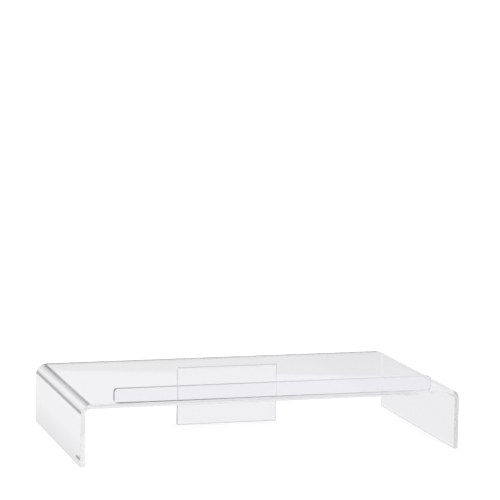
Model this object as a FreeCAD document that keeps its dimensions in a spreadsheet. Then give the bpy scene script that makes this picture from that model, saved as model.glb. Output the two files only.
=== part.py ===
"""Clear acrylic monitor riser: a heat-bent sheet, a centre support, a front lip and a blank mark.

Frame: millimetres, +Z up, +X to the right, -Y towards the user. The origin is on the desk,
midway between the legs and midway from front to back. Every piece is a PartDesign body whose
sketches, features and placement read their sizes from the "dims" spreadsheet.
"""
import FreeCAD, Part
import math
import os
import Sketcher

# alias, value in mm, meaning
DIMS = [
    ("riser_width", 540.0, "outer width across the legs"),
    ("riser_depth", 298.0, "front to back"),
    ("riser_height", 85.0, "desk to the deck's top face"),
    ("sheet_thickness", 6.35, "quarter-inch acrylic, used for every clear piece"),
    ("bend_radius", 15.0, "outer radius of the two heat bends"),
    ("bend_inner_radius", 7.4, "inner radius of the bends, where the sheet is a little thinner"),
    ("edge_round", 0.5, "polished round on the cut edges"),
    ("support_width", 150.0, "centre support, left to right"),
    ("support_setback", 229.0, "deck's front edge to the support's front face"),
    ("lip_length", 452.0, "front lip, left to right"),
    ("lip_offset", 1.8, "middle of the lip, to the right of the deck's middle"),
    ("lip_height", 20.0, "front lip, above the deck"),
    ("lip_corner", 5.0, "corner radius of the lip"),
    ("mark_length", 24.0, "blank mark, front to back"),
    ("mark_height", 3.4, "blank mark, bottom to top"),
    ("mark_depth", 0.3, "depth of the mark's recess in the leg"),
    ("mark_gap", 0.1, "clearance round the mark in its recess"),
    ("mark_setback", 14.5, "deck's front edge to the middle of the mark"),
    ("mark_rise", 10.2, "desk to the middle of the mark"),
]

# geometry numbers that every sketch has, and the three points of a line or an arc
X_AXIS, Y_AXIS = -1, -2
START, END, CENTRE = 1, 2, 3

FLAT = 1e-6
doc = FreeCAD.newDocument("monitor_riser")


def make_dims():
    """Put the driving dimensions in a spreadsheet, one aliased cell each."""
    sheet = doc.addObject("Spreadsheet::Sheet", "dims")
    for row, (alias, value, meaning) in enumerate(DIMS, start=1):
        sheet.set("A%d" % row, alias)
        sheet.set("B%d" % row, str(value))
        sheet.setAlias("B%d" % row, alias)
        sheet.set("C%d" % row, meaning)
    doc.recompute()


def new_body(label, **place):
    """Start an empty body under its node name, at a bound place: x, y and z are expressions."""
    body = doc.addObject("PartDesign::Body", label)
    body.Label = label
    for axis, expression in place.items():
        body.setExpression(".Placement.Base." + axis, expression)
    return body


def new_sketch(body, name, role):
    """Attach an empty sketch to one of the body's own origin planes."""
    sketch = body.newObject("Sketcher::SketchObject", name)
    plane = [item for item in body.Origin.OriginFeatures if item.Role == role][0]
    sketch.AttachmentSupport = [(plane, "")]
    sketch.MapMode = "FlatFace"
    return sketch


def number(sketch, expression):
    """The value that an expression has now."""
    value = sketch.evalExpression(expression)
    return float(getattr(value, "Value", value))


def dimension(sketch, name, expression, kind, *where):
    """Add a named dimension to a sketch and bind it to the spreadsheet."""
    value = number(sketch, expression)
    index = sketch.addConstraint(Sketcher.Constraint(kind, *where, value))
    sketch.renameConstraint(index, name)
    sketch.setExpression("Constraints." + name, expression)


def constrain(sketch, *constraints):
    """Add undimensioned constraints, each a tuple."""
    for entry in constraints:
        sketch.addConstraint(Sketcher.Constraint(*entry))


def line(start, end):
    """A straight segment of an outline."""
    return Part.LineSegment(FreeCAD.Vector(*start, 0), FreeCAD.Vector(*end, 0))


def arc(centre, radius, from_deg, to_deg):
    """A round segment of an outline, counter-clockwise."""
    circle = Part.Circle(FreeCAD.Vector(*centre, 0), FreeCAD.Vector(0, 0, 1), radius)
    return Part.ArcOfCircle(circle, math.radians(from_deg), math.radians(to_deg))


def close_outline(sketch, segments, backwards=()):
    """Add segments end to end as a loop: smooth at arcs, and sharp between two lines.

    Arcs always run counter-clockwise, so those that the loop passes the other way are
    listed in backwards.
    """
    sketch.addGeometry(segments, False)
    is_arc = [isinstance(segment, Part.ArcOfCircle) for segment in segments]
    for this in range(len(segments)):
        after = (this + 1) % len(segments)
        leave = START if this in backwards else END
        enter = END if after in backwards else START
        kind = "Tangent" if is_arc[this] or is_arc[after] else "Coincident"
        constrain(sketch, (kind, this, leave, after, enter))


def pad(body, sketch, expression, symmetric):
    """Extrude a sketch by a bound length."""
    feature = body.newObject("PartDesign::Pad", sketch.Name + "_pad")
    feature.Profile = sketch
    feature.SideType = "Symmetric" if symmetric else "One side"
    feature.setExpression("Length", expression)
    doc.recompute()
    return feature


def polish(body, base, chosen):
    """Round the chosen edges of a feature, as a flame-polished edge is."""
    names = ["Edge%d" % i for i, edge in enumerate(base.Shape.Edges, start=1) if chosen(edge)]
    feature = body.newObject("PartDesign::Fillet", body.Name + "_polish")
    feature.Base = (base, names)
    feature.setExpression("Radius", "dims.edge_round")
    doc.recompute()
    return feature


def rounded_outline(sketch, width, height, corner, bottom):
    """A rounded rectangle centred on the sketch's Y axis; its sizes are expressions."""
    half = number(sketch, width) / 2
    tall = number(sketch, height)
    radius = number(sketch, corner)
    low = number(sketch, bottom)
    side, top = half - radius, low + tall
    close_outline(sketch, [
        line((-side, low), (side, low)),
        arc((side, low + radius), radius, -90, 0),
        line((half, low + radius), (half, top - radius)),
        arc((side, top - radius), radius, 0, 90),
        line((side, top), (-side, top)),
        arc((-side, top - radius), radius, 90, 180),
        line((-half, top - radius), (-half, low + radius)),
        arc((-side, low + radius), radius, 180, 270),
    ])
    base, right, upper, left = 0, 2, 4, 6
    constrain(sketch,
              ("Horizontal", upper), ("Vertical", right), ("Vertical", left),
              ("Equal", 1, 3), ("Equal", 3, 5), ("Equal", 5, 7),
              ("Symmetric", base, START, base, END, Y_AXIS))
    dimension(sketch, "corner", corner, "Radius", 1)
    dimension(sketch, "width", width, "DistanceX", left, START, right, START)
    dimension(sketch, "height", height, "DistanceY", base, START, upper, END)
    return base


def make_bent_sheet():
    """One sheet bent twice into a deck and two legs, with the mark's recess in the left leg."""
    body = new_body("bent_sheet")
    profile = new_sketch(body, "sheet_profile", "XZ_Plane")
    half = number(profile, "dims.riser_width") / 2
    tall = number(profile, "dims.riser_height")
    thick = number(profile, "dims.sheet_thickness")
    outer = number(profile, "dims.bend_radius")
    inner = number(profile, "dims.bend_inner_radius")
    turn_x, turn_y = half - outer, tall - outer
    inner_x, inner_y = half - thick - inner, tall - thick - inner
    right_leg, right_bend, top, left_bend, left_leg, left_foot = range(6)
    left_inside, left_inner_bend, underside, right_inner_bend, right_inside, right_foot = range(6, 12)
    close_outline(profile, [
        line((half, 0), (half, turn_y)),
        arc((turn_x, turn_y), outer, 0, 90),
        line((turn_x, tall), (-turn_x, tall)),
        arc((-turn_x, turn_y), outer, 90, 180),
        line((-half, turn_y), (-half, 0)),
        line((-half, 0), (thick - half, 0)),
        line((thick - half, 0), (thick - half, inner_y)),
        arc((-inner_x, inner_y), inner, 90, 180),
        line((-inner_x, tall - thick), (inner_x, tall - thick)),
        arc((inner_x, inner_y), inner, 0, 90),
        line((half - thick, inner_y), (half - thick, 0)),
        line((half - thick, 0), (half, 0)),
    ], backwards=(left_inner_bend, right_inner_bend))
    constrain(profile,
              ("Vertical", right_leg), ("Vertical", left_leg), ("Horizontal", top),
              ("Horizontal", left_foot), ("Horizontal", right_foot),
              ("Vertical", left_inside), ("Vertical", right_inside), ("Horizontal", underside),
              ("Equal", left_bend, right_bend),
              ("Equal", left_inner_bend, right_inner_bend),
              ("Equal", left_foot, right_foot),
              ("PointOnObject", right_leg, START, X_AXIS),
              ("Symmetric", left_leg, END, right_leg, START, Y_AXIS))
    dimension(profile, "width", "dims.riser_width", "DistanceX", left_leg, END, right_leg, START)
    dimension(profile, "height", "dims.riser_height", "DistanceY", right_leg, START, top, START)
    dimension(profile, "leg", "dims.sheet_thickness", "DistanceX", left_foot, START, left_foot, END)
    dimension(profile, "deck", "dims.sheet_thickness", "DistanceY", underside, START, top, START)
    dimension(profile, "bend", "dims.bend_radius", "Radius", right_bend)
    dimension(profile, "inner_bend", "dims.bend_inner_radius", "Radius", right_inner_bend)
    sheet = pad(body, profile, "dims.riser_depth", symmetric=True)

    def is_cut_edge(edge):
        """The edges of the front and back faces, and of the legs' feet."""
        box = edge.BoundBox
        return box.YLength < FLAT or box.ZMax < FLAT

    polished = polish(body, sheet, is_cut_edge)
    outline = mark_outline(body, "recess_outline", "dims.mark_gap")
    outline.setExpression(".AttachmentOffset.Base.z", "-dims.riser_width / 2")
    recess = body.newObject("PartDesign::Pocket", "mark_recess")
    recess.Profile = outline
    recess.Reversed = True
    recess.setExpression("Length", "dims.mark_depth")
    doc.recompute()
    if recess.Shape.Volume >= polished.Shape.Volume:
        raise RuntimeError("the mark's recess cuts nothing")
    return body


def mark_outline(body, name, gap):
    """The mark's pill shape on the plane of the left leg, grown all round by gap."""
    outline = new_sketch(body, name, "YZ_Plane")
    radius = number(outline, "dims.mark_height / 2 + " + gap)
    middle = number(outline, "dims.mark_setback - dims.riser_depth / 2")
    reach = number(outline, "(dims.mark_length - dims.mark_height) / 2")
    rise = number(outline, "dims.mark_rise")
    front, back = middle - reach, middle + reach
    close_outline(outline, [
        line((front, rise - radius), (back, rise - radius)),
        arc((back, rise), radius, -90, 90),
        line((back, rise + radius), (front, rise + radius)),
        arc((front, rise), radius, 90, 270),
    ])
    lower, back_end, front_end = 0, 1, 3
    constrain(outline, ("Horizontal", lower), ("Equal", back_end, front_end))
    dimension(outline, "end_round", "dims.mark_height / 2 + " + gap, "Radius", back_end)
    dimension(outline, "rise", "dims.mark_rise", "DistanceY", X_AXIS, START, back_end, CENTRE)
    dimension(outline, "run", "dims.mark_length - dims.mark_height",
              "DistanceX", front_end, CENTRE, back_end, CENTRE)
    dimension(outline, "setback",
              "dims.riser_depth / 2 - dims.mark_setback - (dims.mark_length - dims.mark_height) / 2",
              "DistanceX", back_end, CENTRE, X_AXIS, START)
    return outline


def make_centre_support():
    """The panel under the deck, bonded along its top edge, with its foot on the desk."""
    body = new_body(
        "centre_support",
        y="dims.support_setback + dims.sheet_thickness / 2 - dims.riser_depth / 2")
    face = new_sketch(body, "support_face", "XZ_Plane")
    half = number(face, "dims.support_width") / 2
    tall = number(face, "dims.riser_height - dims.sheet_thickness")
    close_outline(face, [
        line((-half, 0), (half, 0)),
        line((half, 0), (half, tall)),
        line((half, tall), (-half, tall)),
        line((-half, tall), (-half, 0)),
    ])
    foot, right, upper, left = range(4)
    constrain(face,
              ("Horizontal", upper), ("Vertical", right), ("Vertical", left),
              ("PointOnObject", foot, START, X_AXIS),
              ("Symmetric", foot, START, foot, END, Y_AXIS))
    dimension(face, "width", "dims.support_width", "DistanceX", foot, START, foot, END)
    dimension(face, "height", "dims.riser_height - dims.sheet_thickness",
              "DistanceY", right, START, right, END)
    panel = pad(body, face, "dims.sheet_thickness", symmetric=True)
    top = panel.Shape.BoundBox.ZMax
    polish(body, panel, lambda edge: edge.BoundBox.ZMin < top - FLAT)
    return body


def make_front_lip():
    """The strip on edge along the front of the deck, bonded to it, its front face flush."""
    body = new_body("front_lip",
                    x="dims.lip_offset",
                    y="(dims.sheet_thickness - dims.riser_depth) / 2",
                    z="dims.riser_height")
    face = new_sketch(body, "lip_face", "XZ_Plane")
    base = rounded_outline(face, "dims.lip_length", "dims.lip_height", "dims.lip_corner", "0")
    constrain(face, ("PointOnObject", base, START, X_AXIS))
    strip = pad(body, face, "dims.sheet_thickness", symmetric=True)
    back = strip.Shape.BoundBox.YMax
    front = strip.Shape.BoundBox.YMin

    def is_rim(edge):
        """The edges round the front face and the back face."""
        box = edge.BoundBox
        return box.YLength < FLAT and (abs(box.YMin - front) < FLAT or abs(box.YMax - back) < FLAT)

    polish(body, strip, is_rim)
    return body


def make_blank_mark():
    """The thin inlay in the left leg's recess, flush with the leg's outer face."""
    body = new_body("blank_mark", x="-dims.riser_width / 2")
    outline = mark_outline(body, "mark_face", "0")
    pad(body, outline, "dims.mark_depth", symmetric=False)
    return body


def check(bodies):
    """Stop if any object failed, or if a sketch is loose, or if a piece isn't one good solid."""
    for item in doc.Objects:
        if {"Invalid", "Error"} & set(item.State):
            raise RuntimeError("%s is %s" % (item.Label, item.State))
        if item.TypeId == "Sketcher::SketchObject" and not item.FullyConstrained:
            raise RuntimeError("%s isn't fully constrained" % item.Label)
    for body in bodies:
        shape = body.Shape
        if shape.isNull() or not shape.isValid() or len(shape.Solids) != 1:
            raise RuntimeError("%s isn't one valid solid" % body.Label)


def main():
    make_dims()
    bodies = [make_bent_sheet(), make_centre_support(), make_front_lip(), make_blank_mark()]
    doc.recompute()
    check(bodies)
    os.makedirs("parts", exist_ok=True)
    for body in bodies:
        box = body.Shape.BoundBox
        body.Shape.exportStep("parts/%s.step" % body.Label)
        print("%-15s volume %9.1f mm3, x %.2f..%.2f, y %.2f..%.2f, z %.2f..%.2f" % (
            body.Label, body.Shape.Volume, box.XMin, box.XMax, box.YMin, box.YMax, box.ZMin, box.ZMax))


main()
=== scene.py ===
import math

import bmesh
import bpy
from mathutils import Matrix, Vector


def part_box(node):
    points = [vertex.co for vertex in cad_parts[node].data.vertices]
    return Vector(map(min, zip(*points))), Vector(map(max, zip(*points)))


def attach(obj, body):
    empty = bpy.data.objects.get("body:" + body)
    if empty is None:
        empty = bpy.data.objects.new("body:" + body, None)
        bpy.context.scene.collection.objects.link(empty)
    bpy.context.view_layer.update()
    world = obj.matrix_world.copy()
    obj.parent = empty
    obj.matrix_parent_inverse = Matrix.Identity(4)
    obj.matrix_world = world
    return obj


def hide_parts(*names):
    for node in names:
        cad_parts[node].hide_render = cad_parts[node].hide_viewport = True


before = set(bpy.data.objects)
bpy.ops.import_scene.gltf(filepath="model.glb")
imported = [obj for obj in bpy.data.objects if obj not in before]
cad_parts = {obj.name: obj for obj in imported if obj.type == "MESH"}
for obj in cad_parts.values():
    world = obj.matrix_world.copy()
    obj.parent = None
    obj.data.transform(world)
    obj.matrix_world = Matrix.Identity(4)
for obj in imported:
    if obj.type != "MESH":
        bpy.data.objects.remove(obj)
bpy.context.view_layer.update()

# Lengths are in metres, in the CAD frame: +X right, -Y towards the user, the desk at Z = 0.
BEND_RADIUS = 0.015       # outer radius of the two heat bends
INNER_RADIUS = 0.0074     # inner radius: the sheet thins a little where it bends
EDGE_ROUND = 0.0005       # polished round on every cut edge
LIP_CORNER = 0.005        # corner radius of the front lip
BOND_DEPTH = 0.00005      # how far a cemented panel reaches into the sheet
RECESS_GAP = 0.0001       # clearance round the mark in its recess
RECESS_PROUD = 0.001      # how far the recess's cutter stands out of the leg
FLOOR_DROP = 0.0002       # the desk's surface lies this far under the feet
TINY = 1e-6

# how finely the meshes are cut, and the angle past which an edge is rounded
LEG_STEPS, BEND_STEPS, DECK_STEPS, DEPTH_STEPS = 8, 48, 24, 14
SUPPORT_STEPS, SUPPORT_LEVELS = 6, 4
ROUND_STEPS, CORNER_STEPS, PILL_STEPS = 3, 10, 12
SHARP = math.radians(60)

# places in the pieces' material lists
FACE, EDGE, REAR_EDGE, SHADED_FRONT_EDGE = range(4)
BASE = 2

IOR = 1.491               # cast acrylic
HAZE = 1.8                # light lost in the acrylic, per metre
# painted glow: the acrylic's volume gives off light of its own, standing in for studio light
# scattered in the haze
GLOW = 0.85               # brightness that the haze takes from the studio

# patterns, in cycles per metre
SMUDGE_SCALE, WAVE_SCALE, HAIRLINE_SCALE = 14.0, 9.0, (40.0, 900.0, 60.0)
INK_SCALE, PAPER_SCALE = 2500.0, 400.0

# colours that the acrylic's faces and cut edges give the light; all but the first two are darkened
# as painted shade on faces and edge lines, and the darkest also stands for the dark cemented joint
WATER, POLISHED, FRONT_SHADE = (0.966, 0.964, 0.988), (0.975, 0.975, 0.98), (0.66, 0.66, 0.665)
SUPPORT_EDGE_SHADE, LIP_EDGE_SHADE, CEMENT_AND_SHADE = (0.45, 0.45, 0.46), (0.34, 0.34, 0.35), (0.05, 0.05, 0.05)

# brightness of the studio against the sine of the elevation
STUDIO = [(0.00, 0.88), (0.26, 0.92), (0.32, 0.60), (0.70, 0.60), (0.82, 1.5)]

# brightness of what the acrylic mirrors and bends of the floor, over the room's depth and width
AWAY = [(-0.52, 0.90), (0.42, 0.90), (0.435, 0.75), (0.58, 0.72), (0.75, 0.60), (1.0, 0.55)]
# painted contact shadow: a dip under the left foot; painted shade: a little darker from the right
# leg outwards
ACROSS = [(-0.30, 1.0), (-0.268, 0.87), (-0.23, 1.0), (0.26, 1.0), (0.28, 0.95)]
SURROUND_HALF, FLOOR_HALF = 20.0, 40.0

# angles in degrees, lens and sensor in millimetres
CAMERA_AT = (-0.9177, -3.0437, 0.7072)
CAMERA_YAW, CAMERA_PITCH, CAMERA_ROLL = 16.883, 7.897, 1.048
CAMERA_LENS, CAMERA_SENSOR = 163.58, 36.0

sheet_low, sheet_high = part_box("bent_sheet")
support_low, support_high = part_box("centre_support")
lip_low, lip_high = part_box("front_lip")
mark_low, mark_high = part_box("blank_mark")
mark_size = mark_high - mark_low
mark_middle = (mark_low + mark_high) / 2
THICK = support_high.y - support_low.y


# ---------------------------------------------------------------- meshes

def spread(start, end, steps):
    """Evenly spaced values from start to end, both included."""
    return [start + (end - start) * i / steps for i in range(steps + 1)]


def new_object(name, bm, material_list):
    """Turn a bmesh into a smooth-shaded object in the scene."""
    bmesh.ops.recalc_face_normals(bm, faces=bm.faces)
    mesh = bpy.data.meshes.new(name)
    bm.to_mesh(mesh)
    bm.free()
    for material in material_list:
        mesh.materials.append(material)
    mesh.shade_smooth()
    obj = bpy.data.objects.new(name, mesh)
    bpy.context.scene.collection.objects.link(obj)
    return obj


def weighted_normals(obj):
    """Flat faces keep flat normals beside their polished rounds."""
    modifier = obj.modifiers.new("flat_faces", "WEIGHTED_NORMAL")
    modifier.mode = "FACE_AREA"
    modifier.weight = 100
    modifier.keep_sharp = True


def round_edges(bm, edges, size=EDGE_ROUND, steps=ROUND_STEPS):
    bmesh.ops.bevel(bm, geom=edges, offset=size, offset_type="OFFSET", segments=steps,
                    profile=0.5, affect="EDGES", clamp_overlap=True, material=-1)


def sheet_stations():
    """Outer and inner points in XZ, from the left foot over the deck to the right foot."""
    half, tall = sheet_high.x, sheet_high.z
    turn_x, turn_z = half - BEND_RADIUS, tall - BEND_RADIUS
    in_x, in_z = half - THICK - INNER_RADIUS, tall - THICK - INNER_RADIUS
    left = [((-half, z), (THICK - half, z)) for z in spread(0, turn_z, LEG_STEPS)]
    for angle in spread(math.pi, math.pi / 2, BEND_STEPS)[1:]:
        c, s = math.cos(angle), math.sin(angle)
        left.append(((BEND_RADIUS * c - turn_x, BEND_RADIUS * s + turn_z),
                     (INNER_RADIUS * c - in_x, INNER_RADIUS * s + in_z)))
    deck = [((x, tall), (x, tall - THICK)) for x in spread(-turn_x, turn_x, DECK_STEPS)[1:-1]]
    right = [tuple((-x, z) for x, z in pair) for pair in reversed(left)]
    return left + deck + right


def bent_sheet(materials):
    """The deck and the two legs: one sheet, a little thinner in its bends."""
    bm = bmesh.new()
    stations = sheet_stations()
    rows = spread(sheet_low.y, sheet_high.y, DEPTH_STEPS)
    outer = [[bm.verts.new((x, y, z)) for y in rows] for (x, z), _ in stations]
    inner = [[bm.verts.new((x, y, z)) for y in rows] for _, (x, z) in stations]
    last_row, last = len(rows) - 1, len(stations) - 1
    for s in range(last):
        for r in range(last_row):
            bm.faces.new((outer[s][r], outer[s + 1][r], outer[s + 1][r + 1], outer[s][r + 1]))
            bm.faces.new((inner[s][r], inner[s][r + 1], inner[s + 1][r + 1], inner[s + 1][r]))
        outer_ends = stations[s][0], stations[s + 1][0]
        is_deck = min(z for _, z in outer_ends) > sheet_high.z - TINY
        is_right_leg = min(x for x, _ in outer_ends) > sheet_high.x - THICK
        # painted shade: the right leg's front face takes a darker tint
        front = SHADED_FRONT_EDGE if is_right_leg else EDGE
        rear = REAR_EDGE if is_deck else EDGE
        for r, finish in ((0, front), (last_row, rear)):
            cut = bm.faces.new((outer[s][r], outer[s + 1][r], inner[s + 1][r], inner[s][r]))
            cut.material_index = finish
    for s in (0, last):
        for r in range(last_row):
            foot = bm.faces.new((outer[s][r], outer[s][r + 1], inner[s][r + 1], inner[s][r]))
            foot.material_index = EDGE
    bmesh.ops.recalc_face_normals(bm, faces=bm.faces)
    corners = [e for e in bm.edges if len(e.link_faces) == 2
               and e.link_faces[0].material_index != e.link_faces[1].material_index
               or e.calc_face_angle(0) > SHARP]
    round_edges(bm, corners)
    obj = new_object("riser_sheet", bm, materials)
    cut_recess(obj)
    weighted_normals(obj)
    return obj


def pill(length, height, depth):
    """A pill-shaped prism in YZ, centred on the origin and depth deep along +X."""
    bm = bmesh.new()
    radius, reach = height / 2, (length - height) / 2
    points = []
    for side in (1, -1):
        for angle in spread(-90, 90, PILL_STEPS):
            a = math.radians(angle)
            points.append((side * (reach + radius * math.cos(a)), side * radius * math.sin(a)))
    front = [bm.verts.new((0, y, z)) for y, z in points]
    back = [bm.verts.new((depth, y, z)) for y, z in points]
    bm.faces.new(front)
    bm.faces.new(reversed(back))
    for i in range(len(points)):
        j = (i + 1) % len(points)
        bm.faces.new((front[i], front[j], back[j], back[i]))
    bmesh.ops.recalc_face_normals(bm, faces=bm.faces)
    return bm


def cut_recess(obj):
    """Sink the mark's shallow recess into the left leg."""
    bm = pill(mark_size.y + 2 * RECESS_GAP, mark_size.z + 2 * RECESS_GAP, mark_size.x + RECESS_PROUD)
    cutter = new_object("recess_cutter", bm, [])
    cutter.location = (mark_low.x - RECESS_PROUD, mark_middle.y, mark_middle.z)
    modifier = obj.modifiers.new("recess", "BOOLEAN")
    modifier.operation = "DIFFERENCE"
    modifier.solver = "EXACT"
    modifier.object = cutter
    bpy.context.view_layer.update()
    graph = bpy.context.evaluated_depsgraph_get()
    cut = bpy.data.meshes.new_from_object(obj.evaluated_get(graph))
    obj.modifiers.clear()
    obj.data = cut
    bpy.data.objects.remove(cutter)


def rounded_rectangle(low, high, corner):
    """Points of an XZ rectangle with all four corners rounded, counter-clockwise."""
    points = []
    for sx, sz, start in ((1, -1, -90), (1, 1, 0), (-1, 1, 90), (-1, -1, 180)):
        cx = (high.x - corner) if sx > 0 else (low.x + corner)
        cz = (high.z - corner) if sz > 0 else (low.z + corner)
        for angle in spread(start, start + 90, CORNER_STEPS):
            a = math.radians(angle)
            points.append((cx + corner * math.cos(a), cz + corner * math.sin(a)))
    return points


def front_lip(materials):
    """The clear strip on edge along the deck's front."""
    low = Vector((lip_low.x, lip_low.y, lip_low.z - BOND_DEPTH))
    bm = bmesh.new()
    points = rounded_rectangle(low, lip_high, LIP_CORNER)
    front = [bm.verts.new((x, lip_low.y, z)) for x, z in points]
    back = [bm.verts.new((x, lip_high.y, z)) for x, z in points]
    bm.faces.new(front)
    bm.faces.new(list(reversed(back)))
    for i in range(len(points)):
        j = (i + 1) % len(points)
        side = bm.faces.new((front[i], back[i], back[j], front[j]))
        side.material_index = BASE if max(points[i][1], points[j][1]) < low.z + TINY else EDGE
    bmesh.ops.recalc_face_normals(bm, faces=bm.faces)
    round_edges(bm, [e for e in bm.edges if FACE in (f.material_index for f in e.link_faces)])
    for face in bm.faces:
        if face.calc_center_median().z < low.z + EDGE_ROUND:
            face.material_index = BASE
    obj = new_object("lip_strip", bm, materials)
    weighted_normals(obj)
    return obj


def centre_support(materials):
    """The panel on edge under the deck."""
    bm = bmesh.new()
    top = support_high.z + BOND_DEPTH
    xs = spread(support_low.x, support_high.x, SUPPORT_STEPS)
    zs = spread(support_low.z, top, SUPPORT_LEVELS)
    front = [[bm.verts.new((x, support_low.y, z)) for z in zs] for x in xs]
    back = [[bm.verts.new((x, support_high.y, z)) for z in zs] for x in xs]
    nx, nz = SUPPORT_STEPS, SUPPORT_LEVELS
    for i in range(nx):
        for j in range(nz):
            bm.faces.new((front[i][j], front[i + 1][j], front[i + 1][j + 1], front[i][j + 1]))
            bm.faces.new((back[i][j], back[i][j + 1], back[i + 1][j + 1], back[i + 1][j]))
        for j in (0, nz):
            cut = bm.faces.new((front[i][j], front[i + 1][j], back[i + 1][j], back[i][j]))
            cut.material_index = EDGE
    for j in range(nz):
        for i in (0, nx):
            cut = bm.faces.new((front[i][j], front[i][j + 1], back[i][j + 1], back[i][j]))
            cut.material_index = EDGE
    bmesh.ops.recalc_face_normals(bm, faces=bm.faces)
    round_edges(bm, [e for e in bm.edges if e.calc_face_angle(0) > SHARP
                     and min(v.co.z for v in e.verts) < top - TINY])
    obj = new_object("support_panel", bm, materials)
    weighted_normals(obj)
    return obj


def blank_mark(materials):
    """The plain inlay, flush with the left leg."""
    bm = pill(mark_size.y, mark_size.z, mark_size.x)
    rim = [e for e in bm.edges if all(abs(v.co.x) < TINY for v in e.verts)]
    round_edges(bm, rim, size=mark_size.x * 0.3, steps=2)
    obj = new_object("mark_inlay", bm, materials)
    obj.location = (mark_low.x, mark_middle.y, mark_middle.z)
    weighted_normals(obj)
    return obj


# ------------------------------------------------------------- materials

class Nodes:
    """A short way to write a node tree."""

    def __init__(self, owner):
        owner.use_nodes = True
        self.tree = owner.node_tree
        self.tree.nodes.clear()

    def add(self, kind, inputs=None, **settings):
        """Add a node; its inputs are sockets to link or values to set."""
        node = self.tree.nodes.new(kind)
        for key, value in settings.items():
            setattr(node, key, value)
        for key, value in (inputs or {}).items():
            if isinstance(value, bpy.types.NodeSocket):
                self.tree.links.new(value, node.inputs[key])
            else:
                node.inputs[key].default_value = value
        return node


def set_ramp(ramp, levels):
    """Give a colour ramp these grey levels."""
    stops = ramp.color_ramp.elements
    while len(stops) > 1:
        stops.remove(stops[-1])
    for i, (position, level) in enumerate(levels):
        stop = stops[0] if i == 0 else stops.new(position)
        stop.position = position
        stop.color = (level, level, level, 1.0)


def levels_over(n, value, levels):
    """Brightness as a broken line over a length."""
    first, last = levels[0][0], levels[-1][0]
    share = n.add("ShaderNodeMapRange", {"Value": value, "From Min": first, "From Max": last})
    ramp = n.add("ShaderNodeValToRGB", {"Fac": share.outputs["Result"]})
    set_ramp(ramp, [((at - first) / (last - first), level) for at, level in levels])
    return ramp.outputs["Color"]


def two_colours(n, value, low_colour, high_colour):
    """A colour that runs from one to the other as value goes from 0 to 1."""
    ramp = n.add("ShaderNodeValToRGB", {"Fac": value})
    for stop, colour in zip(ramp.color_ramp.elements, (low_colour, high_colour)):
        stop.color = (*colour, 1.0)
    return ramp.outputs["Color"]


def acrylic(name, tint, right_tint=None, gloss=1.0, tir_shade=None, rough=(0.0, 0.02),
            wave=0.000005, scratch=0.0):
    """Acrylic with faint waves, hairline scratches and a film of handling marks.

    A right_tint makes the tint run from the stand's left end to its right. So does dull, a
    pair: the share of the total internal reflection that is swapped for a near-black mix,
    painted shade standing in for dark surroundings mirrored in a cut face.
    """
    material = bpy.data.materials.new(name)
    n = Nodes(material)
    where = n.add("ShaderNodeTexCoord").outputs["Object"]
    smudge = n.add("ShaderNodeTexNoise", {"Vector": where, "Scale": SMUDGE_SCALE, "Detail": 4.0})
    roughness = n.add("ShaderNodeMapRange", {
        "Value": smudge.outputs["Fac"], "From Min": 0.45, "From Max": 0.75,
        "To Min": rough[0], "To Max": rough[1]})
    swell = n.add("ShaderNodeTexNoise", {"Vector": where, "Scale": WAVE_SCALE, "Detail": 1.0})
    relief = n.add("ShaderNodeBump", {
        "Height": swell.outputs["Fac"], "Strength": 1.0, "Distance": wave})
    if scratch:
        stretched = n.add("ShaderNodeMapping", {
            "Vector": where, "Rotation": (0.3, 0.2, 0.5), "Scale": HAIRLINE_SCALE})
        hair = n.add("ShaderNodeTexNoise", {
            "Vector": stretched.outputs["Vector"], "Scale": 1.0, "Detail": 2.0})
        lines = n.add("ShaderNodeMapRange", {
            "Value": hair.outputs["Fac"], "From Min": 0.70, "From Max": 0.80})
        relief = n.add("ShaderNodeBump", {
            "Height": lines.outputs["Result"], "Strength": 1.0, "Distance": scratch,
            "Normal": relief.outputs["Normal"]})
    parts = n.add("ShaderNodeSeparateXYZ", {"Vector": where})
    share = n.add("ShaderNodeMapRange", {
        "Value": parts.outputs["X"], "From Min": sheet_low.x, "From Max": sheet_high.x})
    colour = (*tint, 1.0)
    if right_tint:
        colour = two_colours(n, share.outputs["Result"], tint, right_tint)
    shader = n.add("ShaderNodeBsdfPrincipled", {
        "Base Color": colour, "Transmission Weight": 1.0, "IOR": IOR,
        "Specular Tint": (gloss, gloss, gloss, 1.0),
        "Roughness": roughness.outputs["Result"], "Normal": relief.outputs["Normal"]})
    surface = shader.outputs["BSDF"]
    if tir_shade:
        most = n.add("ShaderNodeMapRange", {
            "Value": share.outputs["Result"], "To Min": tir_shade[0], "To Max": tir_shade[1]})
        mirror = n.add("ShaderNodeFresnel", {"IOR": IOR})
        swallowed = n.add("ShaderNodeMapRange", {
            "Value": mirror.outputs["Fac"], "From Min": 0.2, "From Max": 0.6,
            "To Max": most.outputs["Result"]})
        # painted shade: a near-black mix in place of the internally reflected light
        painted_dark = n.add("ShaderNodeBsdfDiffuse", {"Color": (0.02, 0.02, 0.02, 1.0)})
        mix = n.add("ShaderNodeMixShader", {"Fac": swallowed.outputs["Result"]})
        n.tree.links.new(surface, mix.inputs[1])
        n.tree.links.new(painted_dark.outputs["BSDF"], mix.inputs[2])
        surface = mix.outputs["Shader"]
    # real haze absorbs, and a painted glow is emitted by the volume
    haze_and_glow = n.add("ShaderNodeVolumePrincipled", {
        "Color": (0.0, 0.0, 0.0, 1.0), "Absorption Color": (0.0, 0.0, 0.0, 1.0),
        "Density": HAZE, "Emission Strength": HAZE * GLOW,
        "Emission Color": (0.96, 0.96, 1.0, 1.0)})
    n.add("ShaderNodeOutputMaterial", {"Surface": surface, "Volume": haze_and_glow.outputs["Volume"]})
    return material


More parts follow.
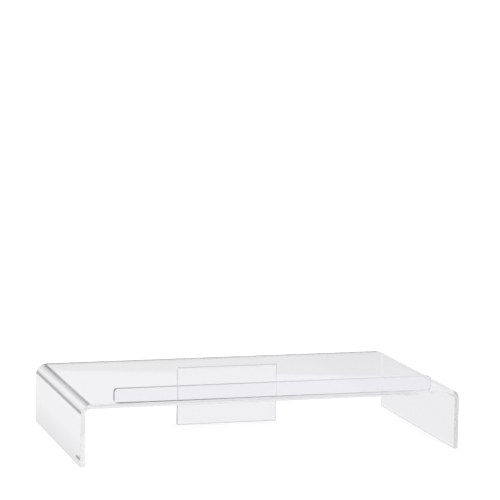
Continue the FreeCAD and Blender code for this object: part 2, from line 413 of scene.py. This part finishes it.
def ink():
    """Printed grey ink with a fine mottle."""
    material = bpy.data.materials.new("mark_ink")
    n = Nodes(material)
    where = n.add("ShaderNodeTexCoord").outputs["Object"]
    grain = n.add("ShaderNodeTexNoise", {"Vector": where, "Scale": INK_SCALE, "Detail": 3.0})
    mottle = two_colours(n, grain.outputs["Fac"], (0.28, 0.28, 0.29), (0.41, 0.41, 0.42))
    bump = n.add("ShaderNodeBump", {
        "Height": grain.outputs["Fac"], "Strength": 0.3, "Distance": 0.00005})
    shader = n.add("ShaderNodeBsdfPrincipled", {
        "Base Color": mottle, "Roughness": 0.55, "Normal": bump.outputs["Normal"]})
    n.add("ShaderNodeOutputMaterial", {"Surface": shader.outputs["BSDF"]})
    return material


def desk():
    """Plain pale matte paper on a light table."""
    material = bpy.data.materials.new("desk_paper")
    n = Nodes(material)
    where = n.add("ShaderNodeTexCoord").outputs["Object"]
    fibre = n.add("ShaderNodeTexNoise", {"Vector": where, "Scale": PAPER_SCALE, "Detail": 3.0})
    paper = two_colours(n, fibre.outputs["Fac"], (0.44, 0.44, 0.44), (0.46, 0.46, 0.46))
    shader = n.add("ShaderNodeBsdfPrincipled", {
        "Base Color": paper, "Roughness": 0.9, "Specular IOR Level": 0.1,
        "Emission Color": (1.0, 1.0, 1.0, 1.0), "Emission Strength": 0.70})
    n.add("ShaderNodeOutputMaterial", {"Surface": shader.outputs["BSDF"]})
    return material


# --------------------------------------------------------------- the set

def studio():
    """Soft light from all round: paler walls, a darker band above them and a bright ceiling."""
    world = bpy.data.worlds.new("studio")
    bpy.context.scene.world = world
    n = Nodes(world)
    toward = n.add("ShaderNodeTexCoord").outputs["Generated"]
    parts = n.add("ShaderNodeSeparateXYZ", {"Vector": toward})
    ramp = n.add("ShaderNodeValToRGB", {"Fac": parts.outputs["Z"]})
    peak = max(level for _, level in STUDIO)
    set_ramp(ramp, [(position, level / peak) for position, level in STUDIO])
    shade = n.add("ShaderNodeBackground", {"Color": ramp.outputs["Color"], "Strength": peak})
    n.add("ShaderNodeOutputWorld", {"Surface": shade.outputs["Background"]})


def floor():
    bm = bmesh.new()
    bmesh.ops.create_grid(bm, x_segments=4, y_segments=4, size=FLOOR_HALF)
    obj = new_object("desk_floor", bm, [desk()])
    obj.location.z = -FLOOR_DROP


def surround():
    """A glowing card lying fixed round the stand, which only reflections and refractions see; its
    brightness is painted, with a painted contact shadow under the left foot.
    """
    bm = bmesh.new()
    bmesh.ops.create_grid(bm, x_segments=8, y_segments=8, size=SURROUND_HALF)
    material = bpy.data.materials.new("surround")
    n = Nodes(material)
    where = n.add("ShaderNodeTexCoord").outputs["Object"]
    yaw = math.radians(CAMERA_YAW)
    depth = n.add("ShaderNodeVectorMath", operation="DOT_PRODUCT")
    n.tree.links.new(where, depth.inputs[0])
    depth.inputs[1].default_value = (math.sin(yaw), math.cos(yaw), 0.0)
    parts = n.add("ShaderNodeSeparateXYZ", {"Vector": where})
    glow = n.add("ShaderNodeEmission", {
        "Color": levels_over(n, depth.outputs["Value"], AWAY),
        "Strength": levels_over(n, parts.outputs["X"], ACROSS)})
    n.add("ShaderNodeOutputMaterial", {"Surface": glow.outputs["Emission"]})
    obj = new_object("studio_surround", bm, [material])
    obj.location.z = -FLOOR_DROP / 2
    obj.visible_camera = obj.visible_diffuse = obj.visible_shadow = False


def camera():
    data = bpy.data.cameras.new("camera")
    data.lens = CAMERA_LENS
    data.sensor_width = CAMERA_SENSOR
    data.clip_start, data.clip_end = 0.05, 200.0
    obj = bpy.data.objects.new("camera", data)
    bpy.context.scene.collection.objects.link(obj)
    yaw, pitch, roll = (math.radians(a) for a in (CAMERA_YAW, CAMERA_PITCH, CAMERA_ROLL))
    level = math.cos(pitch)
    forward = Vector((math.sin(yaw) * level, math.cos(yaw) * level, -math.sin(pitch)))
    right = forward.cross(Vector((0, 0, 1))).normalized()
    up = right.cross(forward)
    right_now = math.cos(roll) * right + math.sin(roll) * up
    up_now = math.cos(roll) * up - math.sin(roll) * right
    turn = Matrix((right_now, up_now, -forward)).transposed()
    obj.matrix_world = Matrix.Translation(CAMERA_AT) @ turn.to_4x4()
    bpy.context.scene.camera = obj


camera()
studio()
floor()
surround()

clear = acrylic("clear_acrylic", WATER, wave=0.00001, scratch=0.000001)
edge = acrylic("polished_edge", POLISHED)
# painted shade: a darker tint on the right leg's front face
shaded_front = acrylic("shaded_front_edge", FRONT_SHADE)
# painted shade: the deck's rear face swaps most of its internally reflected light for dark, drawing
# a dark line along the rear top edge
rear = acrylic("rear_edge", POLISHED, gloss=0.3, tir_shade=(1.0, 0.8), rough=(0.01, 0.04))
# painted shade: the support's cut edges are tinted dark grey to draw dark edge lines
rim = acrylic("shaded_cut_edge", SUPPORT_EDGE_SHADE, gloss=0.15, rough=(0.05, 0.09))
# painted shade: the lip's edges are tinted dark at the left end, fading to clear at the right
lip_rim = acrylic("shaded_lip_edge", LIP_EDGE_SHADE, POLISHED, gloss=0.15, rough=(0.05, 0.09))
# a dark cemented joint, darkened further as painted shade: near black at the left end fading to
# clear at the right, swapping most internally reflected light for dark on the left
joint_and_shade = acrylic("joint_and_shade", CEMENT_AND_SHADE, POLISHED, gloss=0.15, tir_shade=(1.0, 0.1), rough=(0.05, 0.09))

for piece, node, slot_name in (
        (bent_sheet([clear, edge, rear, shaded_front]), "bent_sheet", "clear_acrylic"),
        (centre_support([clear, rim]), "centre_support", "clear_acrylic"),
        (front_lip([clear, lip_rim, joint_and_shade]), "front_lip", "clear_acrylic"),
        (blank_mark([ink()]), "blank_mark", "mark_ink")):
    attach(piece, "root")
    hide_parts(node)

scene = bpy.context.scene
scene.view_settings.view_transform = "Standard"
# light goes to and fro many times inside the sheet
scene.cycles.max_bounces = 48
scene.cycles.transmission_bounces = 32
scene.cycles.glossy_bounces = 32
scene.cycles.diffuse_bounces = 4
